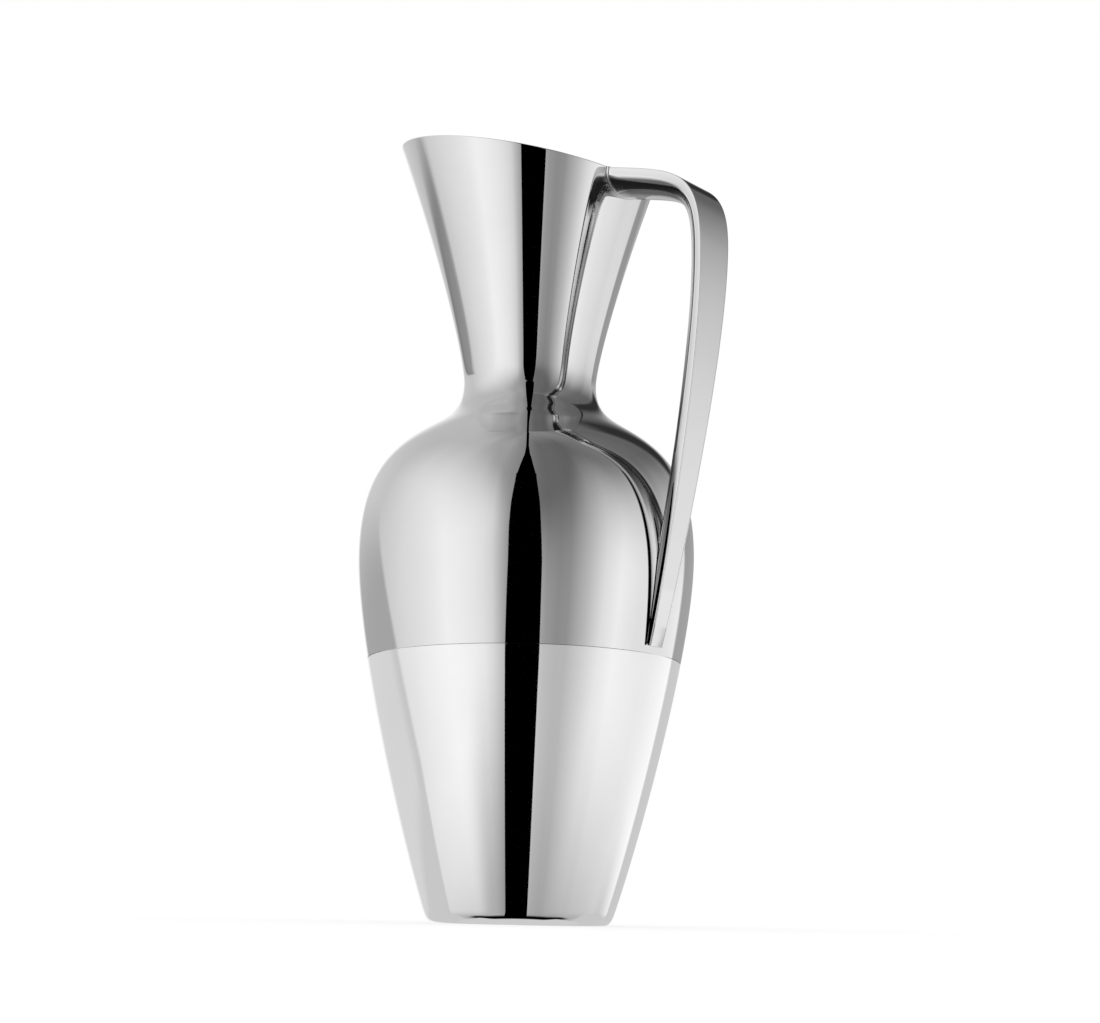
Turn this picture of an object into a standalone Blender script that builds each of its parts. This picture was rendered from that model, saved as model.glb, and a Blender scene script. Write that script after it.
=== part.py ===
"""Water pitcher of mirror-polished steel: two spun body shells lapped at a seam, and a hollow handle.

Metres and degrees. +Z is up, the handle lies along +X and the spout along -X.
The origin is the centre of the base, on the table.
"""
import math

import bmesh
import bpy
import numpy as np

for old in list(bpy.data.objects):
    bpy.data.objects.remove(old, do_unlink=True)

# Body outline, outer side of the sheet
BASE_RADIUS = 0.0334        # where the line of the wall would meet the table
BASE_CORNER = 0.0037        # rounding of the base's edge
BASE_LEAN = 19.5            # lean of the wall at the base, from upright
BELLY_RADIUS = 0.0630       # widest place
BELLY_HEIGHT = 0.1353
NECK_RADIUS = 0.0253        # narrowest place
NECK_HEIGHT = 0.2020
SPOUT_RADIUS = 0.0530       # funnel at the tip of the spout
SPOUT_HEIGHT = 0.3000       # tip of the spout, the highest point
SPOUT_LEAN = 19.6           # lean of the funnel at the tip
RIM_SLANT = 13.05           # slope of the rim, falling towards the handle

# How far each stretch of the outline keeps to its end direction, as a share of its own height
BASE_PULL = 0.20
BELLY_PULL_BELOW = 0.25
BELLY_PULL_ABOVE = 0.82
NECK_PULL_BELOW = 0.40
NECK_PULL_ABOVE = 0.09
SPOUT_PULL = 0.56

# Sheet and seam
WALL = 0.0010               # steel sheet of both shells
CLEARANCE = 0.0003          # gap between pieces that touch
SEAM_HEIGHT = 0.0953        # joint line of the two shells
LAP = 0.0060                # collar of the lower shell inside the upper one
JOGGLE = 0.0030             # height in which the wall steps in to the collar
SEAM_BEAD = 0.0012          # leg of the weld bead on the collar's edge

# Handle: a channel with a flat strip let into its open side
HANDLE_OVERHANG = 0.0211    # outer face past the belly, at the crest
CREST_DROP = 0.0357         # crest below the root
ROOT_WIDTH = 0.0240
FOOT_WIDTH = 0.0077
HANDLE_DEPTH = 0.0084       # outer face to the rounded back
HANDLE_WALL = 0.0010
FACE_THICKNESS = 0.0008
ROOT_DROP = 0.0003          # outer face below the plane of the rim
ROOT_PLATE = 0.0009         # plate between the handle's root and the funnel
ROOT_PLATE_INSET = 0.0003   # edge of the plate inside the edge of the handle
FOOT_ABOVE_SEAM = 0.0024
FOOT_EDGE = 0.0010          # side walls left standing at the foot's end
FOOT_LIFT = 5.0             # angle at which the foot leaves the belly
FOOT_PAD_START = 0.0090     # solder pad inside the foot, measured from its end
FOOT_PAD_LENGTH = 0.0200
TAPER = 1.1                 # how late the handle widens from foot to root

# How far the handle keeps to its end directions, as a share of each stretch's reach
ROOT_PULL = 0.75
CREST_PULL_ABOVE = 0.78
CREST_PULL_BELOW = 0.29
FOOT_PULL = 0.17

# Fineness of the facets
SEGMENTS = 56               # round the body
UPPER_POINTS = 26           # along each side of the upper shell's sheet
BOWL_POINTS = 13            # along each side of the lower shell's wall
CORNER_POINTS = 6           # round the base's edge
COLLAR_POINTS = 4           # along each side of the collar
BEAD_POINTS = 5             # round the weld bead
HANDLE_STEPS = 52           # along the handle
BACK_STEPS = 10             # round the handle's back
PAD_STEPS = 8               # along the solder pad
FINE = 160                  # points on each worked-out curve
OVERRUN = 0.010             # how far the cutting shapes run past the spout
SHARP_EDGE = 35.0           # faces that meet at more than this show a sharp edge
MERGE = 1e-7                # points closer than this are one

RIM_FALL = math.tan(math.radians(RIM_SLANT))    # drop of the rim for each metre towards the handle


def heading(lean):
    """Direction in (radius, height) that leans outwards from upright by an angle."""
    return np.array([math.sin(math.radians(lean)), math.cos(math.radians(lean))])


def bezier(start, start_pull, end_pull, end):
    """Cubic curve from start to end that leaves along one pull and arrives along the other."""
    t = np.linspace(0.0, 1.0, FINE)[:, None]
    first = start + start_pull
    second = end - end_pull
    return (1 - t) ** 3 * start + 3 * (1 - t) ** 2 * t * first + 3 * (1 - t) * t ** 2 * second + t ** 3 * end


def tangents(curve):
    """Unit direction of travel at each point of a curve."""
    step = np.gradient(curve, axis=0)
    return step / np.linalg.norm(step, axis=1)[:, None]


def offset(curve, distance):
    """Curve moved sideways, outwards from the body where the distance is positive."""
    along = tangents(curve)
    return curve + distance * np.stack([along[:, 1], -along[:, 0]], axis=1)


def travel(curve):
    """Distance covered along a curve at each of its points."""
    steps = np.linalg.norm(np.diff(curve, axis=0), axis=1)
    return np.concatenate([[0.0], np.cumsum(steps)])


def resample(curve, count):
    """The same curve with a set number of points, closer together where it turns."""
    covered = travel(curve)
    along = tangents(curve)
    bends = np.abs(np.diff(np.arctan2(along[:, 0], along[:, 1])))
    turned_by = np.concatenate([[0.0], np.cumsum(bends)])
    spread = covered / covered[-1] + turned_by / max(turned_by[-1], 1.0)
    places = np.linspace(0.0, spread[-1], count)
    return np.stack([np.interp(places, spread, curve[:, k]) for k in range(2)], axis=1)


def between(curve, low, high):
    """Stretch of a rising curve between two heights, cut exactly at both."""
    ends = [[np.interp(h, curve[:, 1], curve[:, 0]), h] for h in (low, high)]
    inside = curve[(curve[:, 1] > low) & (curve[:, 1] < high)]
    return np.vstack([ends[:1], inside, ends[1:]])


def base_corner():
    """Flat base from the axis, and the arc that rounds its edge into the wall."""
    opening = math.radians(90.0 + BASE_LEAN)
    reach = BASE_CORNER / math.tan(opening / 2)
    middle = np.array([BASE_RADIUS - reach, BASE_CORNER])
    turn = np.linspace(-math.pi / 2, -math.radians(BASE_LEAN), FINE)
    arc = middle + BASE_CORNER * np.stack([np.cos(turn), np.sin(turn)], axis=1)
    flat = np.stack([np.linspace(0.0, arc[0, 0], FINE), np.zeros(FINE)], axis=1)
    return flat[:-1], arc


def wall_curve():
    """Outer side of the body from the base to past the spout: three curves in line with each other."""
    base = np.array([BASE_RADIUS, 0.0])
    belly = np.array([BELLY_RADIUS, BELLY_HEIGHT])
    neck = np.array([NECK_RADIUS, NECK_HEIGHT])
    spout = np.array([SPOUT_RADIUS, SPOUT_HEIGHT])
    upright = np.array([0.0, 1.0])
    flare = heading(SPOUT_LEAN)
    shoulder = NECK_HEIGHT - BELLY_HEIGHT
    funnel = SPOUT_HEIGHT - NECK_HEIGHT
    bowl = bezier(base, BASE_PULL * BELLY_HEIGHT * heading(BASE_LEAN),
                  BELLY_PULL_BELOW * BELLY_HEIGHT * upright, belly)
    rise = bezier(belly, BELLY_PULL_ABOVE * shoulder * upright, NECK_PULL_BELOW * shoulder * upright, neck)
    mouth = bezier(neck, NECK_PULL_ABOVE * funnel * upright, SPOUT_PULL * funnel * flare, spout)
    beyond = spout + np.linspace(0.0, OVERRUN, FINE)[1:, None] * flare
    return np.vstack([bowl, rise[1:], mouth[1:], beyond])


BODY = wall_curve()
BASE_FLAT, BASE_ARC = base_corner()
INNER = offset(BODY, -WALL)
RIM_ON_AXIS = SPOUT_HEIGHT - RIM_FALL * SPOUT_RADIUS


def radius_at(height):
    """Outer radius of the body at a height."""
    return float(np.interp(height, BODY[:, 1], BODY[:, 0]))


def rim_height(curve, angle):
    """Height at which a rising curve, turned to an angle, meets the slanted plane of the rim."""
    above = curve[:, 1] + RIM_FALL * curve[:, 0] * math.cos(angle) - RIM_ON_AXIS
    return float(np.interp(0.0, above, curve[:, 1]))


def finish(name, vertices, faces, look):
    """Mesh object with smooth shading, sharp where the faces meet at a clear angle."""
    mesh = bpy.data.meshes.new(name)
    mesh.from_pydata([tuple(v) for v in vertices], [], faces)
    shape = bmesh.new()
    shape.from_mesh(mesh)
    bmesh.ops.remove_doubles(shape, verts=shape.verts, dist=MERGE)
    bmesh.ops.recalc_face_normals(shape, faces=shape.faces)
    shape.to_mesh(mesh)
    shape.free()
    mesh.shade_smooth()
    mesh.set_sharp_from_angle(angle=math.radians(SHARP_EDGE))
    piece = bpy.data.objects.new(name, mesh)
    bpy.context.collection.objects.link(piece)
    if look:
        mesh.materials.append(look)
    return piece


def turned(name, outlines, look, closed):
    """Body of rotation from one outline per angle; an open outline starts and ends on the axis."""
    rounds = len(outlines)
    count = len(outlines[0])
    angles = np.arange(rounds) * 2 * math.pi / rounds
    vertices = [(r * math.cos(a), r * math.sin(a), z) for a, line in zip(angles, outlines) for r, z in line]
    faces = []
    for i in range(rounds):
        for j in range(count if closed else count - 1):
            here, after = i * count, (i + 1) % rounds * count
            k = (j + 1) % count
            faces.append((here + j, after + j, after + k, here + k))
    return finish(name, vertices, faces, look)


def swept(name, path, outward, sections, look):
    """Bar along a path in the XZ plane; each section is (sideways, depth below the outer face)."""
    count = len(sections[0])
    vertices = []
    for point, out, section in zip(path, outward, sections):
        for side, depth in section:
            vertices.append((point[0] - out[0] * depth, side, point[1] - out[1] * depth))
    faces = []
    for i in range(len(path) - 1):
        for j in range(count):
            k = (j + 1) % count
            faces.append((i * count + j, i * count + k, (i + 1) * count + k, (i + 1) * count + j))
    last = (len(path) - 1) * count
    faces.append(tuple(range(count)))
    faces.append(tuple(last + j for j in reversed(range(count))))
    return finish(name, vertices, faces, look)


def steel(name, shade, roughness):
    """Polished steel, a Principled material with its own shade."""
    look = bpy.data.materials.new(name)
    look.use_nodes = True
    shader = look.node_tree.nodes["Principled BSDF"]
    shader.inputs["Base Color"].default_value = (shade, shade, shade, 1.0)
    shader.inputs["Metallic"].default_value = 1.0
    shader.inputs["Roughness"].default_value = roughness
    look.diffuse_color = (shade, shade, shade, 1.0)
    return look


def cut(piece, tool, operation):
    """Live Boolean of a piece with a hidden tool."""
    change = piece.modifiers.new(tool.name, 'BOOLEAN')
    change.operation = operation
    change.solver = 'EXACT'
    change.object = tool


def envelope(name, distance, low):
    """Solid inside the body's outer side moved out by a distance, from a height upwards, for cutting."""
    side = offset(BODY, distance)
    top = side[-1, 1]
    line = np.vstack([[[0.0, low]], resample(between(side, low, top), SEGMENTS), [[0.0, top]]])
    tool = turned(name, [line] * SEGMENTS, None, closed=False)
    tool.hide_render = True
    tool.display_type = 'WIRE'
    return tool


def upper_body(look):
    """Spun shell from the seam to the slanted rim, with the sheet cut flat along the rim."""
    foot = SEAM_HEIGHT + CLEARANCE / 2
    outlines = []
    for i in range(SEGMENTS):
        angle = i * 2 * math.pi / SEGMENTS
        outside = resample(between(BODY, foot, rim_height(BODY, angle)), UPPER_POINTS)
        inside = resample(between(INNER, foot, rim_height(INNER, angle)), UPPER_POINTS)
        outlines.append(np.vstack([outside, inside[::-1]]))
    return turned("upper_body", outlines, look, closed=True)


def lower_body(look):
    """Drawn cup: flat bottom, rounded corner, tapered wall and the collar inside the upper shell."""
    ledge = SEAM_HEIGHT - CLEARANCE / 2
    collar_top = SEAM_HEIGHT + LAP
    collar_out = offset(BODY, -(WALL + CLEARANCE))
    collar_in = offset(BODY, -(2 * WALL + CLEARANCE))
    wall_start = BASE_ARC[-1, 1]
    shell = np.vstack([BASE_FLAT, BASE_ARC])
    bottom_in = offset(shell, -WALL)
    arc_in = resample(bottom_in[len(BASE_FLAT):], CORNER_POINTS)
    outside = [BASE_FLAT[:1], resample(BASE_ARC, CORNER_POINTS),
               resample(between(BODY, wall_start, ledge), BOWL_POINTS)[1:]]
    collar = [resample(between(collar_out, ledge, collar_top), COLLAR_POINTS),
              resample(between(collar_in, SEAM_HEIGHT, collar_top), COLLAR_POINTS)[::-1]]
    inside = [resample(between(INNER, arc_in[-1, 1], SEAM_HEIGHT - JOGGLE), BOWL_POINTS)[:0:-1],
              arc_in[::-1], bottom_in[:1]]
    line = np.vstack(outside + collar + inside)
    return turned("lower_body", [line] * SEGMENTS, look, closed=False)


def seam_weld(look):
    """Weld bead in the corner between the collar's top edge and the upper shell's inner side."""
    seat = SEAM_HEIGHT + LAP + CLEARANCE
    face = between(offset(BODY, -(WALL + CLEARANCE)), seat, seat + SEAM_BEAD)
    corner = face[0]
    turn = np.linspace(0.0, math.pi / 2, BEAD_POINTS)[:, None]
    bead = corner + (face[-1] - corner) * np.cos(turn) + np.array([-SEAM_BEAD, 0.0]) * np.sin(turn)
    line = np.vstack([[corner], bead])
    return turned("seam_weld", [line] * SEGMENTS, look, closed=True)


def handle_path():
    """Outer face of the handle in the XZ plane, from inside the funnel's wall, round the crest, to the foot."""
    root_height = rim_height(BODY, 0.0) - ROOT_DROP
    root = np.array([radius_at(rim_height(BODY, 0.0)), root_height])
    crest = np.array([BELLY_RADIUS + HANDLE_OVERHANG, root_height - CREST_DROP])
    foot_height = SEAM_HEIGHT + FOOT_ABOVE_SEAM
    foot = np.array([radius_at(foot_height) + CLEARANCE + FOOT_EDGE, foot_height])
    along_rim = np.array([math.cos(math.radians(RIM_SLANT)), -math.sin(math.radians(RIM_SLANT))])
    down = np.array([0.0, -1.0])
    nearest = np.argmin(np.abs(BODY[:, 1] - foot_height))
    belly_lean = math.degrees(math.atan2(*tangents(BODY)[nearest]))
    into_foot = -heading(belly_lean + FOOT_LIFT)
    top_reach = crest[0] - root[0]
    drop = crest[1] - foot[1]
    stub = root - np.linspace(HANDLE_DEPTH, 0.0, FINE)[:-1, None] * along_rim
    over = bezier(root, ROOT_PULL * top_reach * along_rim, CREST_PULL_ABOVE * CREST_DROP * down, crest)
    run = bezier(crest, CREST_PULL_BELOW * drop * down, FOOT_PULL * drop * into_foot, foot)
    return np.vstack([stub, over, run[1:]])


HANDLE = handle_path()
HANDLE_LENGTH = float(travel(HANDLE)[-1])


def handle_stations(start, end, count):
    """Evenly spaced places on the handle between two distances from the foot's end, with width there."""
    from_foot = HANDLE_LENGTH - travel(HANDLE)
    along = tangents(HANDLE)
    outward = np.stack([-along[:, 1], along[:, 0]], axis=1)
    places = np.linspace(end, start, count)
    pick = [np.interp(places, from_foot[::-1], values[::-1]) for values in (*HANDLE.T, *outward.T)]
    share = places / HANDLE_LENGTH
    width = FOOT_WIDTH + (ROOT_WIDTH - FOOT_WIDTH) * share ** TAPER
    return np.stack(pick[:2], axis=1), np.stack(pick[2:], axis=1), width


def rounded_back(half_width, depth, top):
    """Half ellipse across the handle, from one side at a top depth, round the back, to the other side."""
    lift = math.asin(top / depth)
    turn = np.linspace(lift, math.pi - lift, BACK_STEPS + 1)
    return np.stack([half_width * np.cos(turn), depth * np.sin(turn)], axis=1)


def handle_back(look):
    """Pressed channel: rounded back and sides, open towards the outer face."""
    path, outward, width = handle_stations(0.0, HANDLE_LENGTH, HANDLE_STEPS)
    sections = []
    for wide in width:
        outside = rounded_back(wide / 2, HANDLE_DEPTH, 0.0)
        inside = rounded_back(wide / 2 - HANDLE_WALL, HANDLE_DEPTH - HANDLE_WALL, 0.0)
        sections.append(np.vstack([outside, inside[::-1]]))
    return swept("handle_back", path, outward, sections, look)


def handle_face(look):
    """Flat strip let in flush between the channel's two edges."""
    path, outward, width = handle_stations(0.0, HANDLE_LENGTH, HANDLE_STEPS)
    sections = []
    for wide in width:
        hollow = rounded_back(wide / 2 - HANDLE_WALL, HANDLE_DEPTH - HANDLE_WALL, FACE_THICKNESS)
        top = wide / 2 - HANDLE_WALL - CLEARANCE
        under = hollow[0, 0] - CLEARANCE
        sections.append([(-top, 0.0), (top, 0.0), (under, FACE_THICKNESS), (-under, FACE_THICKNESS)])
    return swept("handle_face", path, outward, sections, look)


def handle_root_plate(look):
    """Plate of the handle's own outline between its root and the funnel."""
    reach = 2 * HANDLE_DEPTH
    inset = ROOT_PLATE_INSET
    path, outward, width = handle_stations(HANDLE_LENGTH - reach, HANDLE_LENGTH, PAD_STEPS)
    sections = [rounded_back(wide / 2 - inset, HANDLE_DEPTH - inset, inset) for wide in width]
    return swept("handle_root_plate", path, outward, sections, look)


def handle_foot_pad(look):
    """Solder pad that fills the hollow of the foot between the strip and the belly."""
    path, outward, width = handle_stations(FOOT_PAD_START, FOOT_PAD_START + FOOT_PAD_LENGTH, PAD_STEPS)
    inset = HANDLE_WALL + CLEARANCE
    top = FACE_THICKNESS + CLEARANCE
    sections = [rounded_back(wide / 2 - inset, HANDLE_DEPTH - inset, top) for wide in width]
    return swept("handle_foot_pad", path, outward, sections, look)


UPPER_STEEL = steel("upper_steel", 0.72, 0.04)
LOWER_STEEL = steel("lower_steel", 0.76, 0.05)
HANDLE_STEEL = steel("handle_steel", 0.72, 0.06)
FACE_STEEL = steel("face_steel", 0.70, 0.10)
WELD_STEEL = steel("weld_steel", 0.55, 0.30)
PLATE_STEEL = steel("plate_steel", 0.70, 0.08)
SOLDER = steel("solder", 0.60, 0.35)

upper_body(UPPER_STEEL)
lower_body(LOWER_STEEL)
seam_weld(WELD_STEEL)

BODY_TOOL = envelope("body_tool", CLEARANCE, SEAM_HEIGHT - LAP)
PLATE_TOOL = envelope("plate_tool", CLEARANCE + ROOT_PLATE, NECK_HEIGHT)
ROOT_TOOL = envelope("root_tool", 2 * CLEARANCE + ROOT_PLATE, NECK_HEIGHT)

for build, look in ((handle_back, HANDLE_STEEL), (handle_face, FACE_STEEL)):
    shell = build(look)
    cut(shell, ROOT_TOOL, 'DIFFERENCE')
    cut(shell, BODY_TOOL, 'DIFFERENCE')

plate = handle_root_plate(PLATE_STEEL)
cut(plate, PLATE_TOOL, 'INTERSECT')
cut(plate, BODY_TOOL, 'DIFFERENCE')

pad = handle_foot_pad(SOLDER)
cut(pad, BODY_TOOL, 'DIFFERENCE')
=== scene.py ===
"""Looks of the water pitcher: two mirror-polished steel shells and a hollow handle, inside a light tent.

Metres and degrees. +Z is up, the handle lies along +X and the spout along -X.
"""
import math

import bmesh
import bpy
import numpy as np
from mathutils import Matrix


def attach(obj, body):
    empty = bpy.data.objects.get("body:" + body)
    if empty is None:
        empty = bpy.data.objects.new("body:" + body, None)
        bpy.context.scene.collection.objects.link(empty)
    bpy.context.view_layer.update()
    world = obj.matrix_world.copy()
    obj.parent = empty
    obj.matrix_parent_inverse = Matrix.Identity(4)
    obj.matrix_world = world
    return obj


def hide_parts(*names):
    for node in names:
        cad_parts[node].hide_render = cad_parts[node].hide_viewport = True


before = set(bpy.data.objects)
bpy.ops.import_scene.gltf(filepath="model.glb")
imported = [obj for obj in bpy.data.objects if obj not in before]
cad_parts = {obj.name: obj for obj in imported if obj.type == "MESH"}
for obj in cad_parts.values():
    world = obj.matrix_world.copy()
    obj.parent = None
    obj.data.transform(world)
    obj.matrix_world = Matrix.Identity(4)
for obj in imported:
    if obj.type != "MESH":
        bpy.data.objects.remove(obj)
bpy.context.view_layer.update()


# Lower body: a cup drawn from 1 mm steel sheet and polished to a mirror. It has a flat base with a rounded
# edge and a wall that leans outwards; above the seam a collar sits inside the upper shell.
BASE_RADIUS = 0.0334        # where the line of the wall would meet the table
BASE_CORNER = 0.0037        # rounding of the base's edge, inside
CORNER_UPWARDS, CORNER_INWARDS = 0.0042, 0.0022     # where the outer rounding of the base's edge ends
BASE_LEAN = 19.5            # lean of the wall at the base, from upright
BELLY_RADIUS, BELLY_HEIGHT = 0.0630, 0.1353
NECK_RADIUS, NECK_HEIGHT = 0.0253, 0.2020
SPOUT_RADIUS, SPOUT_HEIGHT = 0.0530, 0.3000
SPOUT_LEAN = 19.6           # lean of the funnel at the tip of the spout
BASE_PULL, BELLY_PULL_BELOW = 0.20, 0.25            # pulls of the outline's curves, as shares of their rise
BELLY_PULL_ABOVE, NECK_PULL_BELOW = 0.82, 0.40
NECK_PULL_ABOVE, SPOUT_PULL = 0.09, 0.56
OVERRUN, OVERRUN_POINTS = 0.010, 60                 # outline carried on past the spout
WALL = 0.0010               # steel sheet of both shells
CLEARANCE = 0.0003          # gap between pieces that touch
SEAM_HEIGHT = 0.0953
SEAM_GAP = 0.00016          # hairline at the seam
COLLAR_LAP = 0.0060
COLLAR_JOGGLE = 0.0030      # height in which the wall steps in to the collar
ROUNDS = 288                # columns round the body
ROUND_ANGLE = np.arange(ROUNDS) * 2 * math.pi / ROUNDS      # their angles from +X, in radians
CORNER_POINTS, CORNER_IN_POINTS = 22, 12            # round the base's edge, outside and inside
WALL_POINTS, INSIDE_POINTS = 110, 50                # up the wall, outside and inside
COLLAR_POINTS, FLAT_POINTS = 5, 8                   # along the collar, and along the base
BEND_WEIGHT = 0.7           # how much the turning of an outline, beside its length, spaces its points
MERGE = 1e-7                # points closer than this are one
SHARP_EDGE = 35.0           # faces that meet at more than this show a sharp edge
LINE_DEPTH = 0.00002        # depth of the lines left by the buffing wheel
BUFFED_ROUND = (40.0, 40.0, 2600.0)                 # grain scales that make these lines run round the body


def heading(lean):
    """Direction in (radius, height) that leans outwards from upright by an angle."""
    return np.array([math.sin(math.radians(lean)), math.cos(math.radians(lean))])


def bezier(start, start_pull, end_pull, end, count=2000):
    """Cubic curve from start to end: the four Bernstein weights times start, start plus its pull,
    end minus its pull, and end."""
    t = np.linspace(0.0, 1.0, count)[:, None]
    first, second = start + start_pull, end - end_pull
    return (1 - t) ** 3 * start + 3 * (1 - t) ** 2 * t * first + 3 * (1 - t) * t ** 2 * second + t ** 3 * end


def tangents(curve):
    """Unit direction of travel at each point of a curve."""
    step = np.gradient(curve, axis=0)
    return step / np.linalg.norm(step, axis=1)[:, None]


def offset(curve, distance):
    """Curve moved sideways by a distance, outwards from the body where it is positive."""
    along = tangents(curve)
    return curve + distance * np.stack([along[:, 1], -along[:, 0]], axis=1)


def travel(curve):
    """Distance covered along a curve at each of its points."""
    return np.concatenate([[0.0], np.cumsum(np.linalg.norm(np.diff(curve, axis=0), axis=1))])


def spaced(curve, count):
    """The same curve with a set number of points, spaced by its length plus how far it has turned."""
    along = tangents(curve)
    bends = np.abs(np.diff(np.unwrap(np.arctan2(along[:, 0], along[:, 1]))))
    turned_by = np.concatenate([[0.0], np.cumsum(bends)])
    covered = travel(curve)
    spread = covered / covered[-1] + BEND_WEIGHT * turned_by / max(turned_by[-1], 1.0)
    places = np.linspace(0.0, spread[-1], count)
    return np.stack([np.interp(places, spread, curve[:, k]) for k in range(2)], axis=1)


def between(curve, low, high):
    """Stretch of a rising curve between two heights, cut exactly at both."""
    ends = [[np.interp(h, curve[:, 1], curve[:, 0]), h] for h in (low, high)]
    inside = curve[(curve[:, 1] > low) & (curve[:, 1] < high)]
    return np.vstack([ends[:1], inside, ends[1:]])


def softened(before, corner, after, count=6):
    """Corner rounded off: the quadratic curve from before to after that heads for the corner."""
    t = np.linspace(0.0, 1.0, count).reshape((-1,) + (1,) * np.ndim(corner))
    return (1 - t) ** 2 * before + 2 * (1 - t) * t * corner + t ** 2 * after


def body_outline():
    """Outer side of the body from the base to past the spout: three cubic curves in line with each other."""
    upright, flare = heading(0.0), heading(SPOUT_LEAN)
    base, belly = np.array([BASE_RADIUS, 0.0]), np.array([BELLY_RADIUS, BELLY_HEIGHT])
    neck, spout = np.array([NECK_RADIUS, NECK_HEIGHT]), np.array([SPOUT_RADIUS, SPOUT_HEIGHT])
    shoulder, funnel = NECK_HEIGHT - BELLY_HEIGHT, SPOUT_HEIGHT - NECK_HEIGHT
    outwards = heading(BASE_LEAN)
    bowl = bezier(base, BASE_PULL * BELLY_HEIGHT * outwards, BELLY_PULL_BELOW * BELLY_HEIGHT * upright, belly)
    rise = bezier(belly, BELLY_PULL_ABOVE * shoulder * upright, NECK_PULL_BELOW * shoulder * upright, neck)
    mouth = bezier(neck, NECK_PULL_ABOVE * funnel * upright, SPOUT_PULL * funnel * flare, spout)
    beyond = spout + np.linspace(0.0, OVERRUN, OVERRUN_POINTS)[1:, None] * flare
    return np.vstack([bowl, rise[1:], mouth[1:], beyond])


def turned(outline):
    """Surface of rotation: each point (radius, height) of an outline goes round the Z axis in equal steps.
    The outline may differ from column to column."""
    radius, height = outline[..., 0], outline[..., 1]
    if outline.ndim == 2:
        radius, height = radius[:, None], height[:, None]
    x, y = radius * np.cos(ROUND_ANGLE), radius * np.sin(ROUND_ANGLE)
    return np.stack(np.broadcast_arrays(x, y, height), axis=-1)


def skin(name, points, closed_rows=False):
    """Mesh over a grid of points that closes round its columns, and round its rows if asked.
    Rows that shrink to one point become poles."""
    rows, columns = points.shape[:2]
    index = np.arange(rows * columns).reshape(rows, columns)
    low, high = (index, np.roll(index, -1, axis=0)) if closed_rows else (index[:-1], index[1:])
    quads = np.stack([low, np.roll(low, -1, axis=1), np.roll(high, -1, axis=1), high], axis=-1).reshape(-1, 4)
    mesh = bpy.data.meshes.new(name)
    mesh.from_pydata(points.reshape(-1, 3).tolist(), [], quads.tolist())
    shape = bmesh.new()
    shape.from_mesh(mesh)
    bmesh.ops.remove_doubles(shape, verts=shape.verts, dist=MERGE)
    bmesh.ops.recalc_face_normals(shape, faces=shape.faces)
    shape.to_mesh(mesh)
    shape.free()
    mesh.shade_smooth()
    mesh.set_sharp_from_angle(angle=math.radians(SHARP_EDGE))
    piece = bpy.data.objects.new(name, mesh)
    bpy.context.scene.collection.objects.link(piece)
    return piece


def fill(node, values):
    """Node with its named inputs set to given values."""
    for socket, value in values.items():
        node.inputs[socket].default_value = value
    return node


def polish_group():
    """Node group for polished steel: soft clouds of wiping haze change the shade and the roughness a little,
    and fine lines left by the buffing wheel change the roughness and the height."""
    group = bpy.data.node_groups.new("polish", 'ShaderNodeTree')
    for socket, way, kind in (
            ("Place", 'INPUT', 'NodeSocketVector'), ("Grain", 'INPUT', 'NodeSocketVector'),
            ("Bright", 'INPUT', 'NodeSocketColor'), ("Hazy", 'INPUT', 'NodeSocketColor'),
            ("Smooth", 'INPUT', 'NodeSocketFloat'), ("Rough", 'INPUT', 'NodeSocketFloat'),
            ("Shade", 'OUTPUT', 'NodeSocketColor'), ("Roughness", 'OUTPUT', 'NodeSocketFloat'),
            ("Height", 'OUTPUT', 'NodeSocketFloat')):
        group.interface.new_socket(socket, in_out=way, socket_type=kind)
    nodes, link = group.nodes, group.links.new
    given, result = nodes.new('NodeGroupInput'), nodes.new('NodeGroupOutput')
    haze = fill(nodes.new('ShaderNodeTexNoise'), {"Scale": 26.0, "Detail": 5.0, "Roughness": 0.6})
    grain = fill(nodes.new('ShaderNodeTexNoise'), {"Scale": 1.0, "Detail": 3.0})
    clouds = fill(nodes.new('ShaderNodeMapRange'), {"From Min": 0.38, "From Max": 0.66})
    clouds.interpolation_type = 'SMOOTHSTEP'
    both = nodes.new('ShaderNodeMath')
    both.operation = 'MULTIPLY'
    wear = nodes.new('ShaderNodeMapRange')
    shade = nodes.new('ShaderNodeMix')
    shade.data_type = 'RGBA'
    link(given.outputs["Place"], haze.inputs["Vector"])
    link(given.outputs["Grain"], grain.inputs["Vector"])
    link(haze.outputs["Fac"], clouds.inputs["Value"])
    link(clouds.outputs["Result"], both.inputs[0])
    link(grain.outputs["Fac"], both.inputs[1])
    link(both.outputs["Value"], wear.inputs["Value"])
    link(given.outputs["Smooth"], wear.inputs["To Min"])
    link(given.outputs["Rough"], wear.inputs["To Max"])
    link(clouds.outputs["Result"], shade.inputs["Factor"])
    link(given.outputs["Bright"], shade.inputs["A"])
    link(given.outputs["Hazy"], shade.inputs["B"])
    link(shade.outputs["Result"], result.inputs["Shade"])
    link(wear.outputs["Result"], result.inputs["Roughness"])
    link(grain.outputs["Fac"], result.inputs["Height"])
    return group


POLISH = polish_group()


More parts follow.
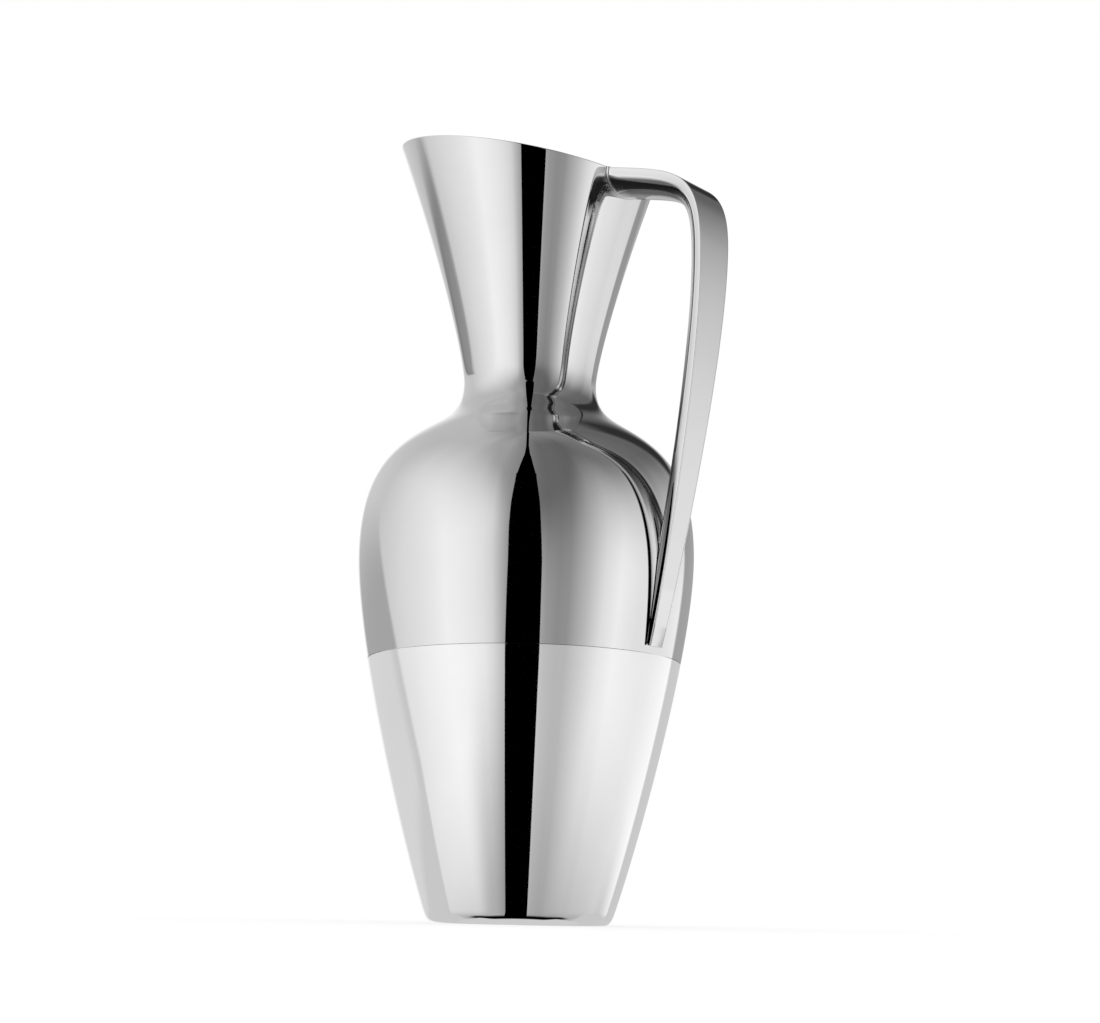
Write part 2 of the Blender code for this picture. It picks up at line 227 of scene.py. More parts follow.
def polished_steel(name, bright, hazy, smooth, rough, grain, relief):
    """Steel material: a full metal whose shade, roughness and fine relief come from the polish group.
    The grain scales stretch the buffing lines along the way the piece was polished."""
    look = bpy.data.materials.new(name)
    look.use_nodes = True
    nodes, link = look.node_tree.nodes, look.node_tree.links.new
    shader = fill(nodes["Principled BSDF"], {"Metallic": 1.0})
    place, stretch = nodes.new('ShaderNodeTexCoord'), fill(nodes.new('ShaderNodeMapping'), {"Scale": grain})
    polish = nodes.new('ShaderNodeGroup')
    polish.node_tree = POLISH
    fill(polish, {"Bright": (*bright, 1.0), "Hazy": (*hazy, 1.0), "Smooth": smooth, "Rough": rough})
    bump = fill(nodes.new('ShaderNodeBump'), {"Strength": relief, "Distance": LINE_DEPTH})
    link(place.outputs["Object"], stretch.inputs["Vector"])
    link(place.outputs["Object"], polish.inputs["Place"])
    link(stretch.outputs["Vector"], polish.inputs["Grain"])
    link(polish.outputs["Shade"], shader.inputs["Base Color"])
    link(polish.outputs["Roughness"], shader.inputs["Roughness"])
    link(polish.outputs["Height"], bump.inputs["Height"])
    link(bump.outputs["Normal"], shader.inputs["Normal"])
    return look


BODY = body_outline()
INNER = offset(BODY, -WALL)
BODY_TANGENT = tangents(BODY)


def lower_outline():
    """Outline of the cup, from the middle of its underside, round the corner, up the wall, over the edge at
    the seam, up and down the collar, and down the inside to the middle of its floor."""
    foot = np.array([BASE_RADIUS, 0.0])
    corner_end = between(BODY, CORNER_UPWARDS, SEAM_HEIGHT)[0]
    corner = softened(foot - [CORNER_INWARDS, 0.0], foot, corner_end, CORNER_POINTS)
    turn = np.linspace(-math.pi / 2, -math.radians(BASE_LEAN), CORNER_IN_POINTS)
    middle = np.array([BASE_RADIUS - BASE_CORNER / math.tan(math.radians(90.0 + BASE_LEAN) / 2), BASE_CORNER])
    corner_in = middle + (BASE_CORNER - WALL) * np.stack([np.cos(turn), np.sin(turn)], axis=1)
    ledge = SEAM_HEIGHT - SEAM_GAP / 2
    wall = spaced(between(BODY, CORNER_UPWARDS, ledge), WALL_POINTS)[1:]
    collar_out = between(offset(BODY, -(WALL + CLEARANCE)), ledge, SEAM_HEIGHT + COLLAR_LAP)
    collar_in = between(offset(BODY, -(2 * WALL + CLEARANCE)), SEAM_HEIGHT, SEAM_HEIGHT + COLLAR_LAP)
    inside = between(INNER, corner_in[-1, 1], SEAM_HEIGHT - COLLAR_JOGGLE)
    flat = np.stack([np.linspace(0.0, corner[0, 0], FLAT_POINTS), np.zeros(FLAT_POINTS)], axis=1)
    floor = np.stack([np.linspace(0.0, corner_in[0, 0], FLAT_POINTS), np.full(FLAT_POINTS, WALL)], axis=1)
    collar = np.vstack([spaced(collar_out, COLLAR_POINTS), spaced(collar_in, COLLAR_POINTS)[::-1]])
    return np.vstack([flat[:-1], corner, wall, collar, spaced(inside, INSIDE_POINTS)[::-1],
                      corner_in[-2::-1], floor[-2::-1]])


lower = skin("lower_shell", turned(lower_outline()))
lower.data.materials.append(polished_steel(
    "lower_mirror", bright=(0.92, 0.92, 0.92), hazy=(0.90, 0.90, 0.90), smooth=0.02, rough=0.04,
    grain=BUFFED_ROUND, relief=0.003))
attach(lower, "root")
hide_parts("lower_body")


# Upper body: a shell spun from the same sheet, from the seam over the belly and the neck to a funnel. Its rim
# is cut at a slant that falls towards the handle, and the cut edge is eased and polished.
RIM_ANGLE = 13.05                               # slope of the rim
RIM_SLANT = math.tan(math.radians(RIM_ANGLE))   # fall of the rim for each metre towards the handle
RIM_ON_AXIS = SPOUT_HEIGHT - RIM_SLANT * SPOUT_RADIUS
RIM_EDGE = 0.00035                              # rounding of the rim's edges
RIM_BELOW = 1.2 * RIM_EDGE                      # last row of each wall below the rim
UPPER_POINTS, UPPER_INSIDE_POINTS = 190, 110    # up the shell, outside and inside


def rim_point(curve):
    """Where a rising curve, turned to each column's angle, meets the slanted plane of the rim: the height
    plus the slant times the radius times the angle's cosine equals the plane's height on the axis."""
    top = curve[curve[:, 1] > NECK_HEIGHT]
    above = top[:, 1:] + RIM_SLANT * top[:, :1] * np.cos(ROUND_ANGLE) - RIM_ON_AXIS
    first = np.argmax(above > 0.0, axis=0)
    here, before = (np.take_along_axis(above, (first - k)[None], 0)[0] for k in (0, 1))
    share = (before / (before - here))[:, None]
    return top[first - 1] * (1 - share) + top[first] * share


def level_with(curve, height):
    """Points of a rising curve at given heights."""
    return np.stack([np.interp(height, curve[:, 1], curve[:, 0]), height], axis=-1)


def risen(curve, low, high, count):
    """Rows along a rising curve from one height to a height of each column's own, closer where the curve
    bends more."""
    even = spaced(between(curve, low, float(np.mean(high))), count)[:, 1]
    share = (even - even[0]) / (even[-1] - even[0])
    return level_with(curve, low + share[:, None] * (high - low))


def upper_outline():
    """Outline of the shell at each column: up the outside, over the rounded rim, and down the inside."""
    foot = SEAM_HEIGHT + SEAM_GAP / 2
    rim_out, rim_in = rim_point(BODY), rim_point(INNER)
    along = rim_in - rim_out
    along = along / np.linalg.norm(along, axis=1)[:, None]
    outside = risen(BODY, foot, rim_out[:, 1] - RIM_BELOW, UPPER_POINTS)
    inside = risen(INNER, foot, rim_in[:, 1] - RIM_BELOW, UPPER_INSIDE_POINTS)
    below_out = level_with(BODY, rim_out[:, 1] - RIM_EDGE)
    below_in = level_with(INNER, rim_in[:, 1] - RIM_EDGE)
    edge_out = softened(below_out, rim_out, rim_out + RIM_EDGE * along)
    edge_in = softened(rim_in - RIM_EDGE * along, rim_in, below_in)
    return np.concatenate([outside, edge_out, edge_in, inside[::-1]])


upper = skin("upper_shell", turned(upper_outline()), closed_rows=True)
upper.data.materials.append(polished_steel(
    "upper_mirror", bright=(0.87, 0.87, 0.87), hazy=(0.85, 0.85, 0.85), smooth=0.02, rough=0.04,
    grain=BUFFED_ROUND, relief=0.003))
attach(upper, "root")
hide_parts("upper_body")


# Seam weld: the bead run round the inside, in the corner between the collar's edge and the upper shell.
# It is bare weld metal with the ripples of the torch, only brushed over, so it is duller than the sheet.
BEAD_LEG = 0.0012
BEAD_RIPPLES, BEAD_SWELL = 144, 0.1     # ripples round the ring, and their height as a share of the leg
BEAD_POINTS = 9


def weld_outline():
    """Quarter round bead at each column: its legs lie on the shell and on the collar's edge, and its bulge
    swells and shrinks as a sine round the ring."""
    seat = SEAM_HEIGHT + COLLAR_LAP + CLEARANCE
    face = between(offset(BODY, -(WALL + CLEARANCE)), seat, seat + BEAD_LEG)
    bulge = 1.0 - BEAD_SWELL + BEAD_SWELL * np.sin(BEAD_RIPPLES * ROUND_ANGLE)
    turn = np.linspace(0.0, math.pi / 2, BEAD_POINTS)[:, None, None]
    up, inward = face[-1] - face[0], np.array([-BEAD_LEG, 0.0])
    bead = face[0] + bulge[:, None] * (up * np.cos(turn) + inward * np.sin(turn))
    return np.concatenate([np.broadcast_to(face[0], bead[:1].shape), bead])


weld = skin("seam_bead", turned(weld_outline()), closed_rows=True)
weld.data.materials.append(polished_steel(
    "brushed_weld", bright=(0.62, 0.60, 0.57), hazy=(0.45, 0.43, 0.42), smooth=0.25, rough=0.45,
    grain=(900.0, 900.0, 900.0), relief=0.4))
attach(weld, "root")
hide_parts("seam_weld")


# Handle back: a channel pressed from sheet, with a rounded back and sides, mirror polished. It springs from
# the rim, goes over a crest and runs down to the belly, and it tapers all the way from the root to the foot.
HANDLE_OVERHANG, CREST_DROP = 0.0211, 0.0357    # crest past the belly, and below the root
ROOT_WIDTH, FOOT_WIDTH = 0.0240, 0.0077
HANDLE_DEPTH = 0.0084                           # outer face to the rounded back
HANDLE_EDGE = 0.0003                            # rounding of the long edges
FACE_BORDER = 0.0005                            # edge of the channel that shows beside the strip
FACE_THICKNESS = 0.0008
ROOT_DROP = 0.0003                              # outer face below the plane of the rim
ROOT_PLATE = 0.0009
FOOT_ABOVE_SEAM, FOOT_EDGE = 0.0024, 0.0010     # end of the foot: its height, and what it leaves of the sides
FOOT_LIFT = 5.0                                 # angle at which the foot leaves the belly
HANDLE_TAPER = 1.1                              # how late the handle widens from foot to root
DEPTH_TAPER, DEPTH_TAPER_FROM = 0.20, 0.1       # share of the depth lost, and of the length where that starts
ROOT_PULL, CREST_PULL_ABOVE = 0.75, 0.78        # pulls of the handle's curves, as shares of reach and drop
CREST_PULL_BELOW, FOOT_PULL = 0.29, 0.17
STUB_POINTS, HANDLE_ROWS, BACK_POINTS = 200, 300, 71    # along stub and handle, and round the back
ACROSS = np.array([-1.0, -1.0, 1.0])            # takes a point of a section to the other side of its middle
BUFFED_ALONG = (40.0, 2600.0, 40.0)             # grain scales that make its buffing lines run along it


def handle_line():
    """Outer face of the handle in the XZ plane: a stub inside the funnel, a cubic curve from the rim over
    to the crest, and a cubic curve down to the foot, which leaves the belly at a small angle."""
    root = np.array([0.0, -ROOT_DROP]) + rim_point(BODY)[0]
    crest = np.array([BELLY_RADIUS + HANDLE_OVERHANG, root[1] - CREST_DROP])
    foot_height = SEAM_HEIGHT + FOOT_ABOVE_SEAM
    nearest = np.argmin(np.abs(BODY[:, 1] - foot_height))
    foot = np.array([BODY[nearest, 0] + CLEARANCE + FOOT_EDGE, foot_height])
    into_foot = -heading(math.degrees(math.atan2(*BODY_TANGENT[nearest])) + FOOT_LIFT)
    along_rim = np.array([1.0, -RIM_SLANT]) / math.hypot(1.0, RIM_SLANT)
    down = np.array([0.0, -1.0])
    reach, drop = crest[0] - root[0], crest[1] - foot[1]
    stub = root - np.linspace(HANDLE_DEPTH, 0.0, STUB_POINTS)[:-1, None] * along_rim
    over = bezier(root, ROOT_PULL * reach * along_rim, CREST_PULL_ABOVE * CREST_DROP * down, crest)
    run = bezier(crest, CREST_PULL_BELOW * drop * down, FOOT_PULL * drop * into_foot, foot)
    return np.vstack([stub, over, run[1:]])


HANDLE = handle_line()
HANDLE_TANGENT = tangents(HANDLE)
HANDLE_TRAVEL = travel(HANDLE)
HANDLE_LENGTH = HANDLE_TRAVEL[-1]


def carried(place, section):
    """Section carried along the handle: at each distance along it, the point of the line, moved in from the
    outer face by the section's depth, which shrinks towards the foot, and sideways by its share of the local
    width plus its own offset."""
    share, aside = section[..., 0], section[..., 1]
    thinning = np.clip(place / HANDLE_LENGTH - DEPTH_TAPER_FROM, 0.0, 1.0) / (1.0 - DEPTH_TAPER_FROM)
    depth = section[..., 2] * (1.0 - DEPTH_TAPER * thinning)
    x, z, tx, tz = (np.interp(place, HANDLE_TRAVEL, v) for v in (*HANDLE.T, *HANDLE_TANGENT.T))
    from_foot = np.clip(1.0 - place / HANDLE_LENGTH, 0.0, 1.0)
    width = FOOT_WIDTH + (ROOT_WIDTH - FOOT_WIDTH) * from_foot ** HANDLE_TAPER
    return np.stack(np.broadcast_arrays(x + tz * depth, width * share + aside, z - tx * depth), axis=-1)


def clear_of_body(points):
    """Distance of points outside the body's outer side: how far they are past its radius at their height,
    times the cosine of its lean there."""
    radius = np.hypot(points[..., 0], points[..., 1])
    past = radius - np.interp(points[..., 2], BODY[:, 1], BODY[:, 0])
    return past * np.interp(points[..., 2], BODY[:, 1], BODY_TANGENT[:, 1])


def leaves_funnel(section, gap, tries=700):
    """Distance along the handle at which each line of a section first stands clear of the funnel by a gap."""
    place = np.linspace(0.0, 3 * HANDLE_DEPTH, tries)
    clear = clear_of_body(carried(place[:, None], section))
    first = np.argmax(clear > gap, axis=0)
    here, before = (np.take_along_axis(clear, (first - k)[None], 0)[0] for k in (0, 1))
    return place[first] - (here - gap) / (here - before) * (place[1] - place[0])


def meets_belly(section, gap, tries=2500):
    """Distance along the handle at which each line of a section comes down to the belly within a gap, or
    else the handle's end."""
    place = np.linspace(HANDLE_LENGTH / 2, HANDLE_LENGTH, tries)
    under = clear_of_body(carried(place[:, None], section)) < gap
    first = np.where(under.any(axis=0), np.argmax(under, axis=0), len(place) - 1)
    return place[first]


def capped(points):
    """Grid with one more row at each end, in which every point is the middle of that end."""
    ends = [np.broadcast_to(points[k].mean(axis=0), points[:1].shape) for k in (0, -1)]
    return np.concatenate([ends[0], points, ends[1]])


def swept(section, root_gap):
    """Bar with a section carried along the handle, from the funnel to the belly, both ends closed."""
    start, end = leaves_funnel(section, root_gap), meets_belly(section, CLEARANCE)
    share = np.linspace(0.0, 1.0, HANDLE_ROWS)[:, None]
    return capped(carried(start + (end - start) * share, section))


def line_of(points, count):
    """Even steps along a straight line between two section points."""
    t = np.linspace(0.0, 1.0, count)[:, None]
    return (1 - t) * np.array(points[0]) + t * np.array(points[1])


def channel_section():
    """Section of the channel as (share of width, offset, depth): half an ellipse behind, eased edges, a
    narrow border on each side of the outer face, and the bed of the strip between them."""
    lift = math.asin(HANDLE_EDGE / HANDLE_DEPTH)
    turn = np.linspace(lift, math.pi - lift, BACK_POINTS)
    back = np.stack([np.cos(turn) / 2, np.zeros(BACK_POINTS), HANDLE_DEPTH * np.sin(turn)], axis=1)
    border = np.array([0.5, -HANDLE_EDGE, 0.0])
    edge = softened(border, np.array([0.5, 0.0, 0.0]), back[0])
    lip, bed = np.array([0.5, -FACE_BORDER, 0.0]), np.array([0.5, -FACE_BORDER, FACE_THICKNESS])
    return np.vstack([[bed, lip], edge[:-1], back, (edge * ACROSS)[-2::-1], [lip * ACROSS, bed * ACROSS]])


channel = skin("handle_channel", swept(channel_section(), 2 * CLEARANCE + ROOT_PLATE))
channel.data.materials.append(polished_steel(
    "handle_mirror", bright=(0.87, 0.87, 0.87), hazy=(0.85, 0.85, 0.85), smooth=0.02, rough=0.04,
    grain=BUFFED_ALONG, relief=0.003))
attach(channel, "root")
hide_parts("handle_back")


# Handle face: a flat strip let in flush between the channel's edges and welded there. It is polished along
# its length, a little softer than the body.
STRIP_GAP = 0.00007         # fine line on each side of the strip
STRIP_EDGE = 0.00006        # rounding of its upper edges
STRIP_POINTS, STRIP_EDGE_POINTS = 24, 4


def strip_section():
    """Section of the strip as (share of width, offset, depth): a flat bar with eased upper edges."""
    side = FACE_BORDER + STRIP_GAP
    top, corner = np.array([0.5, -side - STRIP_EDGE, 0.0]), np.array([0.5, -side, 0.0])
    below = np.array([0.5, -side, STRIP_EDGE])
    foot = np.array([0.5, -side, FACE_THICKNESS - STRIP_GAP])
    edge = softened(top, corner, below, STRIP_EDGE_POINTS)
    by_edge = top - [0.0, STRIP_EDGE, 0.0]
    face = line_of((by_edge * ACROSS, by_edge), STRIP_POINTS)
    return np.vstack([[top * ACROSS], face, edge, [foot, foot * ACROSS], (edge * ACROSS)[:0:-1]])


strip = skin("handle_strip", swept(strip_section(), 2 * CLEARANCE + ROOT_PLATE))
strip.data.materials.append(polished_steel(
    "strip_mirror", bright=(0.86, 0.86, 0.86), hazy=(0.84, 0.84, 0.84), smooth=0.05, rough=0.09,
    grain=BUFFED_ALONG, relief=0.02))
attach(strip, "root")
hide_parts("handle_face")


# Root plate: the thin plate between the handle's root and the funnel, cut to the handle's outline. Only its
# rounded, polished edge shows, as a bright bead between two fine gaps.
PLATE_PROUD = 0.0003        # edge of the plate past the handle's outline
PLATE_ROUND = 0.0006        # how far its edge rounds back to both sides
PLATE_GAP = 0.00012         # fine gap on each side of it
PLATE_ROWS = 11             # across its edge
PLATE_POINTS, PLATE_TOP_POINTS = 61, 20     # round its back, and along its straight upper edge


def plate_section(inset):
    """Section of the plate as (share of width, offset, depth): the handle's own outline, half an ellipse and
    its straight upper edge, moved in by an inset."""
    turn = np.linspace(0.0, math.pi, PLATE_POINTS)
    back = np.stack([np.cos(turn) / 2, -inset * np.cos(turn),
                     inset + (HANDLE_DEPTH - 2 * inset) * np.sin(turn)], axis=1)
    return np.vstack([back, line_of((back[-1], back[0]), PLATE_TOP_POINTS)[1:-1]])


def plate_points():
    """Rows across the plate from the funnel to the handle: the inset is least in the middle and grows as one
    minus a half circle towards both faces."""
    across = np.linspace(-1.0, 1.0, PLATE_ROWS)
    insets = PLATE_ROUND * (1.0 - np.sqrt(1.0 - across ** 2)) - PLATE_PROUD
    gaps = PLATE_GAP + (2 * (CLEARANCE - PLATE_GAP) + ROOT_PLATE) * (across + 1.0) / 2
    sections = [plate_section(inset) for inset in insets]
    return capped(np.stack([carried(leaves_funnel(s, gap), s) for s, gap in zip(sections, gaps)]))


plate = skin("root_bead", plate_points())
plate.data.materials.append(polished_steel(
    "plate_mirror", bright=(0.95, 0.95, 0.95), hazy=(0.92, 0.92, 0.92), smooth=0.34, rough=0.44,
    grain=(300.0, 300.0, 300.0), relief=0.01))
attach(plate, "root")
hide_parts("handle_root_plate")


# Foot pad: the solder that fills the hollow of the handle's foot and holds it to the belly. It is hidden
# inside the channel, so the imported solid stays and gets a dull, grainy solder finish.
solder = polished_steel(
    "dull_solder", bright=(0.62, 0.62, 0.63), hazy=(0.48, 0.48, 0.50), smooth=0.30, rough=0.50,
    grain=(700.0, 700.0, 700.0), relief=0.5)
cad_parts["handle_foot_pad"].data.materials.clear()
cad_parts["handle_foot_pad"].data.materials.append(solder)


# Camera: close to the table in front of the pitcher, turned up a little, with the handle to the right and
# coming forward.
VIEW_BEARING = 38.6         # handle's direction, from the picture's right towards the camera
VIEW_DISTANCE, VIEW_HEIGHT = 0.747, 0.006
VIEW_YAW, VIEW_PITCH, VIEW_ROLL = 0.664, 11.146, 1.0845
VIEW_LENS, VIEW_SENSOR = 65.89, 36.0        # millimetres, as cameras have them
VIEW_NEAREST = 0.01

bearing = math.radians(VIEW_BEARING)
view_right = np.array([math.cos(bearing), math.sin(bearing), 0.0])
view_towards = np.array([math.sin(bearing), -math.cos(bearing), 0.0])
view_up = np.array([0.0, 0.0, 1.0])
eye = VIEW_DISTANCE * view_towards + VIEW_HEIGHT * view_up

yaw, pitch, roll = (math.radians(v) for v in (VIEW_YAW, VIEW_PITCH, VIEW_ROLL))
level = math.sin(yaw) * view_right - math.cos(yaw) * view_towards
forward = math.cos(pitch) * level + math.sin(pitch) * view_up
side = np.cross(forward, view_up) / np.linalg.norm(np.cross(forward, view_up))
top = np.cross(side, forward)
rolled_side = math.cos(roll) * side + math.sin(roll) * top
rolled_top = math.cos(roll) * top - math.sin(roll) * side
view_matrix = np.eye(4)
view_matrix[:3, :] = np.stack([rolled_side, rolled_top, -forward, eye], axis=1)
camera = bpy.data.objects.new("camera", bpy.data.cameras.new("camera"))
camera.data.sensor_width, camera.data.lens = VIEW_SENSOR, VIEW_LENS
camera.data.clip_start = VIEW_NEAREST
camera.matrix_world = Matrix(view_matrix.tolist())
bpy.context.scene.collection.objects.link(camera)
bpy.context.scene.camera = camera


# Floor and surroundings: a plain white sheet under the pitcher and plain white all round, with one broad
# lamp overhead for a soft shadow.
FLOOR_SIZE, FLOOR_POINTS = 12.0, 9
FLOOR_SHADE, FLOOR_ROUGHNESS = 0.99, 0.9
FLOOR_OWN_WHITE = 0.7       # share of the sheet's white that the shadow does not dim
LAMP_SIZE, LAMP_HEIGHT, LAMP_POWER = 6.0, 5.0, 20.0


def sheet_mesh(name, points):
    """Open sheet over a grid of points."""
    rows, columns = points.shape[:2]
    index = np.arange(rows * columns).reshape(rows, columns)
    quads = np.stack([index[:-1, :-1], index[:-1, 1:], index[1:, 1:], index[1:, :-1]], axis=-1).reshape(-1, 4)
    mesh = bpy.data.meshes.new(name)
    mesh.from_pydata(points.reshape(-1, 3).tolist(), [], quads.tolist())
    mesh.shade_smooth()
    piece = bpy.data.objects.new(name, mesh)
    bpy.context.scene.collection.objects.link(piece)
    return piece


floor_spread = np.linspace(-FLOOR_SIZE / 2, FLOOR_SIZE / 2, FLOOR_POINTS)
floor_x, floor_y = np.meshgrid(floor_spread, floor_spread)
floor = sheet_mesh("floor", np.stack([floor_x, floor_y, np.zeros_like(floor_x)], axis=-1))
floor_white = bpy.data.materials.new("floor_white")
floor_white.use_nodes = True
floor_nodes = floor_white.node_tree.nodes
floor_shader = fill(floor_nodes["Principled BSDF"], {
    "Base Color": (FLOOR_SHADE, FLOOR_SHADE, FLOOR_SHADE, 1.0), "Roughness": FLOOR_ROUGHNESS,
    "Specular IOR Level": 0.0})
floor_ray, floor_both = floor_nodes.new('ShaderNodeLightPath'), floor_nodes.new('ShaderNodeMixShader')
floor_bright = fill(floor_nodes.new('ShaderNodeEmission'), {"Strength": 1.0})
floor_share = fill(floor_nodes.new('ShaderNodeMath'), {1: FLOOR_OWN_WHITE})
floor_share.operation = 'MULTIPLY'
for out, into in ((floor_ray.outputs["Is Camera Ray"], floor_share.inputs[0]),
                  (floor_share.outputs["Value"], floor_both.inputs["Fac"]),
                  (floor_shader.outputs["BSDF"], floor_both.inputs[1]),
                  (floor_bright.outputs["Emission"], floor_both.inputs[2]),
                  (floor_both.outputs["Shader"], floor_nodes["Material Output"].inputs["Surface"])):
    floor_white.node_tree.links.new(out, into)
floor.data.materials.append(floor_white)
floor.visible_glossy = False

lamp = bpy.data.objects.new("lamp", bpy.data.lights.new("lamp", 'AREA'))
lamp.data.shape, lamp.data.size, lamp.data.energy = 'DISK', LAMP_SIZE, LAMP_POWER
lamp.location = (0.0, 0.0, LAMP_HEIGHT)
lamp.visible_glossy = False
lamp.visible_camera = False
bpy.context.scene.collection.objects.link(lamp)

world = bpy.data.worlds.new("white_room")
bpy.context.scene.world = world
world.use_nodes = True
fill(world.node_tree.nodes["Background"], {"Color": (1.0, 1.0, 1.0, 1.0), "Strength": 1.0})


# Light tent: a white cloth tent lit from outside, which only the polished steel sees. Its panels hang from a
# grey top, with a card let in on each side behind, a dark gap behind on the right, and a slit for the camera.
# Angles run right from the slit and up from the level. A pair is where an edge starts and where it is full.
TENT_RADIUS, TENT_HEIGHT = 1.2, 0.10
TENT_ROWS, TENT_COLUMNS = 110, 361
TENT_PANELS = np.array([  # angle; glow of the wall and of the skirt; wall's fade from and to; glow above
    (-180, 1.08, 1.05, 20, 45, 0.45), (-164, 1.02, 0.95, 20, 45, 0.54), (-154, 0.66, 0.80, 20, 50, 0.55),
    (-120, 0.62, 0.76, 26, 60, 0.54), (-104, 0.70, 0.80, 28, 64, 0.54), (-90, 0.78, 0.85, 28, 68, 0.53),
    (-75, 0.85, 0.92, 22, 70, 0.515), (-65, 0.91, 0.96, 16, 72, 0.51), (-55, 1.00, 1.00, 2, 74, 0.48),
    (-45, 0.97, 0.98, 2, 74, 0.41), (-35, 0.91, 0.93, 4, 68, 0.39), (-28, 0.84, 0.88, 8, 56, 0.39),
    (-22, 0.74, 0.76, 10, 50, 0.38), (-17, 0.53, 0.63, 10, 42, 0.34), (-12, 0.36, 0.53, 10, 40, 0.30),
    (10, 0.45, 0.62, -14, 26, 0.16), (14, 0.36, 0.56, -14, 28, 0.15), (22, 0.30, 0.51, -12, 32, 0.15),
    (29, 0.32, 0.51, -10, 40, 0.14), (42, 0.55, 0.68, -8, 66, 0.13), (54, 0.83, 0.86, -6, 60, 0.165),
    (66, 0.98, 0.97, -4, 52, 0.185), (74, 0.92, 0.95, -1, 50, 0.20), (84, 0.86, 0.92, 0, 54, 0.19),
    (96, 0.85, 0.89, -3, 50, 0.17), (106, 0.86, 0.91, -5, 46, 0.15), (114, 0.87, 0.95, -2, 47, 0.15),
    (132, 0.95, 1.03, 0, 42, 0.13), (172, 0.80, 1.00, 14, 40, 0.20), (180, 1.05, 1.05, 18, 42, 0.45)])
ZENITH_GLOW, ZENITH_SPREAD = 0.26, 22.0
LEFT_CARD_WALL, LEFT_CARD_SKIRT = 0.42, 0.71  # its glow on the wall and on the skirt
LEFT_CARD_BACK, LEFT_CARD_FRONT = (-159.0, -153.0), (-105.0, -108.5)
LEFT_CARD_TOP, LEFT_CARD_FOOT = (22.0, 2.0), (-44.0, -36.0)
LEFT_CARD_SHEAR, LEFT_CARD_UPRIGHT = 0.74, -16.0  # lean of its front, and the height angle where that ends
LEFT_CARD_FRONT_LOSS, LEFT_CARD_FRONT_DIM = 0.11, (-118.0, -107.0)  # glow lost towards its front
LEFT_CARD_FOOT_LOSS, LEFT_CARD_FOOT_DIM = 0.13, (-14.0, -21.0)  # and towards its foot
RIGHT_CARD_WALL, RIGHT_CARD_SKIRT = 0.39, 0.62
RIGHT_CARD_FRONT, RIGHT_CARD_BACK, RIGHT_CARD_TOP = (132.0, 136.0), (180.0, 168.0), (25.0, 18.0)
GAP_GLOW = 0.03
GAP_FRONT, GAP_BACK = (136.0, 147.0), (174.0, 157.0)
GAP_FOOT, GAP_TOP = (21.0, 28.0), (68.0, 50.0)
SKIRT_FADE, SKIRT_FADE_LENGTH = -20.0, 28.0  # where the skirt's fade starts, and how far down it goes
FADE_RISE_LEFT, FADE_RISE_LEFT_AT = 8.0, (-52.0, -30.0)  # it starts higher near the slit on the left,
FADE_RISE_RIGHT, FADE_RISE_RIGHT_AT = 7.0, (40.0, 66.0)  # and away from the slit on the right
FADE_SHORTER, FADE_SHORTER_AT = 11.0, (96.0, 116.0)  # it is shorter behind on the right
SKIRT_LOSS = 0.50  # share of the glow that is lost
SKIRT_LOSS_FRONT, SKIRT_LOSS_AT = 0.28, (26.0, 50.0)  # less just right of the slit
SKIRT_LEAST, SKIRT_LEAST_AT = 0.62, (62.0, 92.0)  # least glow at the sides and behind
FRONT_END, BAND_END = (40.0, 64.0), (80.0, 64.0)  # sides of the front, and of the dark band there
BAND_START, BAND_FULL = (-44.0, -42.0), (-50.0, -46.5)  # band's edge, each in front and at the sides
TABLE_START, TABLE_FULL = (-57.0, -50.5), (-61.0, -52.0)  # edge of the white sheet, in the same way
TABLE_GLOW = 0.66  # of the white sheet, as the base's edge sees it
SEEN_SIDE = 87.0  # how far round each side the camera sees the body
SLIT_OFF, SLIT_ROWS = 0.01, 160  # slit in front of the panels
SLIT = np.array([  # height angle; left and right edge as angles off the middle plane
    (-56, -13.6, 7.0), (-39, -13.3, 8.4), (-14, -13.2, 10.4), (0, -11.7, 10.3), (12, -11.3, 9.0),
    (22, -10.0, 7.8), (35, -7.3, 5.4), (40.4, -6.6, 4.8), (41.1, -1.0, 0.2), (89, -0.5, 0.2)])


def eased(value, start, end):
    """Smooth step from 0 at start to 1 at end: three times the share squared less twice its cube."""
    share = np.clip((value - start) / (end - start), 0.0, 1.0)
    return share ** 2 * (3.0 - 2.0 * share)


def partway(pair, share):
    """Value at a share of the way from the first of a pair to the second."""
    return pair[0] + (pair[1] - pair[0]) * share


def tent_points(angle, height, radius=TENT_RADIUS):
    """Points of the round tent at an angle from the slit and an angle of height, both in degrees."""
    a, h = np.radians(angle), np.radians(height)
    right, towards, up = np.cos(h) * np.sin(a), np.cos(h) * np.cos(a), np.sin(h)
    level = right[..., None] * view_right + towards[..., None] * view_towards
    return radius * (level + up[..., None] * view_up) + TENT_HEIGHT * view_up


def mirrored_ring(height, left, right, count=400):
    """Points round the front of the body at one height, and the camera's lines of sight to them after the
    mirror: the sight less twice its part along the wall's normal."""
    bow = np.radians(np.linspace(left, right, count))
    radius = np.interp(height, BODY[:, 1], BODY[:, 0])
    lean, rise = (np.interp(height, BODY[:, 1], BODY_TANGENT[:, k]) for k in (0, 1))
    outward = np.sin(bow)[:, None] * view_right + np.cos(bow)[:, None] * view_towards
    point = radius * outward + height * view_up
    normal = rise * outward - lean * view_up
    sight = (point - eye) / np.linalg.norm(point - eye, axis=1)[:, None]
    return point, sight - 2 * np.sum(sight * normal, axis=1)[:, None] * normal


